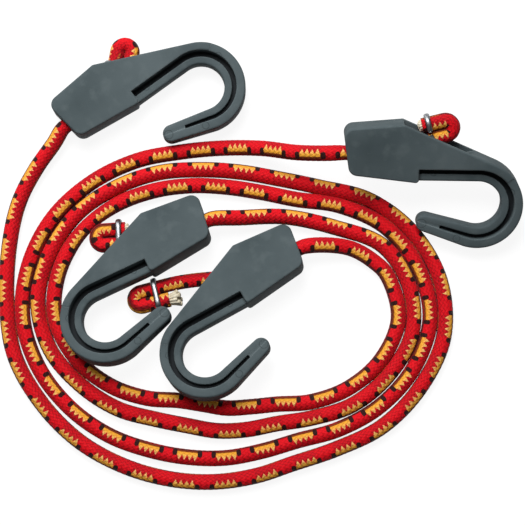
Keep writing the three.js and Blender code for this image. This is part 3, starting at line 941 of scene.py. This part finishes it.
def bar_stations():
    """Place, way out from the throat, share of the way and share of the width."""
    middle = THROAT_R + BAR_WIDTH / 2
    start = BLOCK_LENGTH - EDGE_WALL
    arm = BEND_X - start
    sweep = math.radians(BEND_SWEEP)
    last = math.pi / 2 - sweep
    whole = arm + middle * sweep + TIP_LENGTH
    along = np.array((math.sin(last), -math.cos(last)))
    out = np.array((math.cos(last), math.sin(last)))
    stations = [(np.array((start, BEND[1] + middle)), np.array((0.0, 1.0)), 0.0, 1.0)]
    for turn in np.linspace(math.pi / 2, last, BEND_STEPS + 1):
        away = np.array((math.cos(turn), math.sin(turn)))
        share = (arm + middle * (math.pi / 2 - turn)) / whole
        stations.append((BEND + away * middle, away, share, 1.0))
    bend_end = stations[-1][0]
    plain = TIP_LENGTH - GROOVE_STOPS
    steps = [(d, 1.0) for d in np.linspace(2.0, plain, 6)]
    steps += [(plain + 0.7, 1.0), (plain + GROOVE_WIDTH, 1.0), (plain + 5.0, 1.0)]
    for turn in np.radians(TIP_TURNS):
        steps.append((TIP_LENGTH + TIP_WIDTH / 2 * math.sin(turn), math.cos(turn)))
    for distance, wide in steps:
        share = (whole - TIP_LENGTH + min(distance, TIP_LENGTH)) / whole
        stations.append((bend_end + along * distance, out, share, wide))
    return stations, (whole - TIP_LENGTH) / whole, (whole - GROOVE_STOPS) / whole


def rounded_chain(points, radii, steps=4):
    """A line of straight sides with its inner corners rounded."""
    chain = [np.array(points[0])]
    for before, at, after, radius in zip(points, points[1:], points[2:], radii):
        before, at, after = (np.array(p) for p in (before, at, after))
        reach = 0.45 * min(np.linalg.norm(before - at), np.linalg.norm(after - at))
        radius = min(radius, reach)
        if radius < 0.02:
            chain += [at] * (steps + 1)
        else:
            chain += corner(before, at, after, radius, steps)
    return chain + [np.array(points[-1])]


def bar_section(share, wide, tip_share, groove_end):
    """The bar's section: inner flange, groove and rim, the same on both sides."""
    tip_part = max(0.0, (share - tip_share) / (1 - tip_share))
    width = (BAR_WIDTH + (TIP_WIDTH - BAR_WIDTH) * tip_part) * wide
    rim_part = max(0.0, share - RIM_THINS_FROM) / (1 - RIM_THINS_FROM)
    shrink = TIP_LEAST + (1 - TIP_LEAST) * math.sqrt(wide) if wide < 1 else 1.0
    rim = (HOOK_WIDTH / 2 + (TIP_THICK / 2 - HOOK_WIDTH / 2) * rim_part) * shrink
    ledge = min(LEDGE_THICK / 2 * shrink, rim - 0.04)
    floor = ledge - 0.05 if share > groove_end + 0.004 else GROOVE_FLOOR / 2
    inner = -width / 2
    groove = inner + width * LEDGE_WIDTH / BAR_WIDTH
    rim_start = groove + width * GROOVE_WIDTH / BAR_WIDTH * (1 - GROOVE_NARROWS * rim_part)
    upper = rounded_chain(
        [(inner, 0), (inner, ledge), (groove, ledge), (groove, floor), (rim_start, floor),
         (rim_start, rim), (width / 2, rim), (width / 2, 0)],
        SECTION_ROUNDS)
    lower = [np.array((n, -z)) for n, z in upper[1:-1]][::-1]
    return upper + lower


def bar_solid():
    stations, tip_share, groove_end = bar_stations()
    rings = []
    for at, out, share, wide in stations:
        section = bar_section(share, wide, tip_share, groove_end)
        rings.append(np.array([(*(at + out * n), z) for n, z in section]))
    return loft(rings)


def hole_solid():
    turn = 2 * math.pi * np.arange(32) / 32
    reach = CORD_D / 2 + HOLE_CLEAR
    return loft([np.column_stack([np.full(32, x), reach * np.cos(turn), reach * np.sin(turn)])
                 for x in (-3 * REAR_WALL, 3 * REAR_WALL)])


def solid_object(name, shape):
    verts, faces = shape
    obj = new_object(name, verts, faces, PLASTIC)
    work = bmesh.new()
    work.from_mesh(obj.data)
    bmesh.ops.remove_doubles(work, verts=work.verts, dist=1e-6)
    bmesh.ops.triangulate(work, faces=[f for f in work.faces if len(f.verts) > 4])
    bmesh.ops.recalc_face_normals(work, faces=work.faces)
    work.to_mesh(obj.data)
    work.free()
    return obj


def hook_mesh():
    """Cheek plate and bar joined, less the hollow and the hole for the cord."""
    made = solid_object("hook_moulding", rounded_plate(cheek_outline(), HOOK_WIDTH, EDGE_ROUND))
    hollow = rounded_plate(hollow_outline(), HOOK_WIDTH - 2 * CHEEK_WALL)
    tools = [
        (solid_object("bar", bar_solid()), "UNION"),
        (solid_object("hollow", hollow), "DIFFERENCE"),
        (solid_object("hole", hole_solid()), "DIFFERENCE"),
    ]
    for tool, operation in tools:
        cut = made.modifiers.new(tool.name, "BOOLEAN")
        cut.object = tool
        cut.operation = operation
        cut.solver = "EXACT"
    seen = made.evaluated_get(bpy.context.evaluated_depsgraph_get())
    mesh = bpy.data.meshes.new_from_object(seen)
    mesh.name = "hook_moulding"
    mesh.shade_smooth()
    mesh.set_sharp_from_angle(angle=math.radians(SHARP_FROM))
    for obj in [made] + [tool for tool, _ in tools]:
        bpy.data.objects.remove(obj)
    return mesh


moulding = hook_mesh()
own = moulding.attributes.new("own_place", "FLOAT_VECTOR", "POINT")
own.data.foreach_set("vector", np.array([v.co for v in moulding.vertices]).ravel() / MM)
for letter in ENDS:
    place = PLACES[letter].copy()
    place.translation *= MM
    mesh = moulding.copy()
    mesh.transform(place)
    hook = bpy.data.objects.new("hook_" + letter + "_moulding", mesh)
    scene.collection.objects.link(hook)
    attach(hook, "hook_" + letter + "_body")
    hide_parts("hook_" + letter)

# Stage and light

# The floor glows where it is seen, so that it stays pale, but throws little light on the part
FLOOR_REACH = 4000
FLOOR_DROP = 0.2
FLOOR_GREY = 0.18
FLOOR_GLOW = 0.9
SKY_GLOW = 0.12
WHITE = (1.0, 1.0, 1.0, 1.0)


def floor_material():
    material, tree, shader = new_material("floor")
    shader.inputs["Base Color"].default_value = (FLOOR_GREY, FLOOR_GREY, FLOOR_GREY, 1.0)
    shader.inputs["Roughness"].default_value = 0.9
    shader.inputs["Specular IOR Level"].default_value = 0.1
    rays = tree.nodes.new("ShaderNodeLightPath")
    direct, mirrored, through = (Num(tree, rays.outputs[f"Is {kind} Ray"])
                                 for kind in ("Camera", "Glossy", "Transmission"))
    glow = direct.highest(mirrored).highest(through) * FLOOR_GLOW
    shader.inputs["Emission Color"].default_value = WHITE
    tree.links.new(glow.socket, shader.inputs["Emission Strength"])
    return material


corners = [(x * FLOOR_REACH, y * FLOOR_REACH, -FLOOR_DROP)
           for x, y in ((-1, -1), (1, -1), (1, 1), (-1, 1))]
floor = new_object("floor", corners, [[0, 1, 2, 3]], floor_material())


def area_light(name, at, power, size):
    light = bpy.data.objects.new(name, bpy.data.lights.new(name, "AREA"))
    light.data.energy = power
    light.data.size = size
    light.location = at
    light.rotation_euler = (-Vector(at)).to_track_quat("-Z", "Y").to_euler()
    scene.collection.objects.link(light)


area_light("key", at=(-0.25, 0.7, 1.3), power=20.0, size=0.8)
area_light("fill", at=(-0.5, 1.0, 0.6), power=6.0, size=0.7)

world = bpy.data.worlds.new("studio")
scene.world = world
world.use_nodes = True
sky = world.node_tree.nodes["Background"]
sky.inputs["Color"].default_value = WHITE
sky.inputs["Strength"].default_value = SKY_GLOW
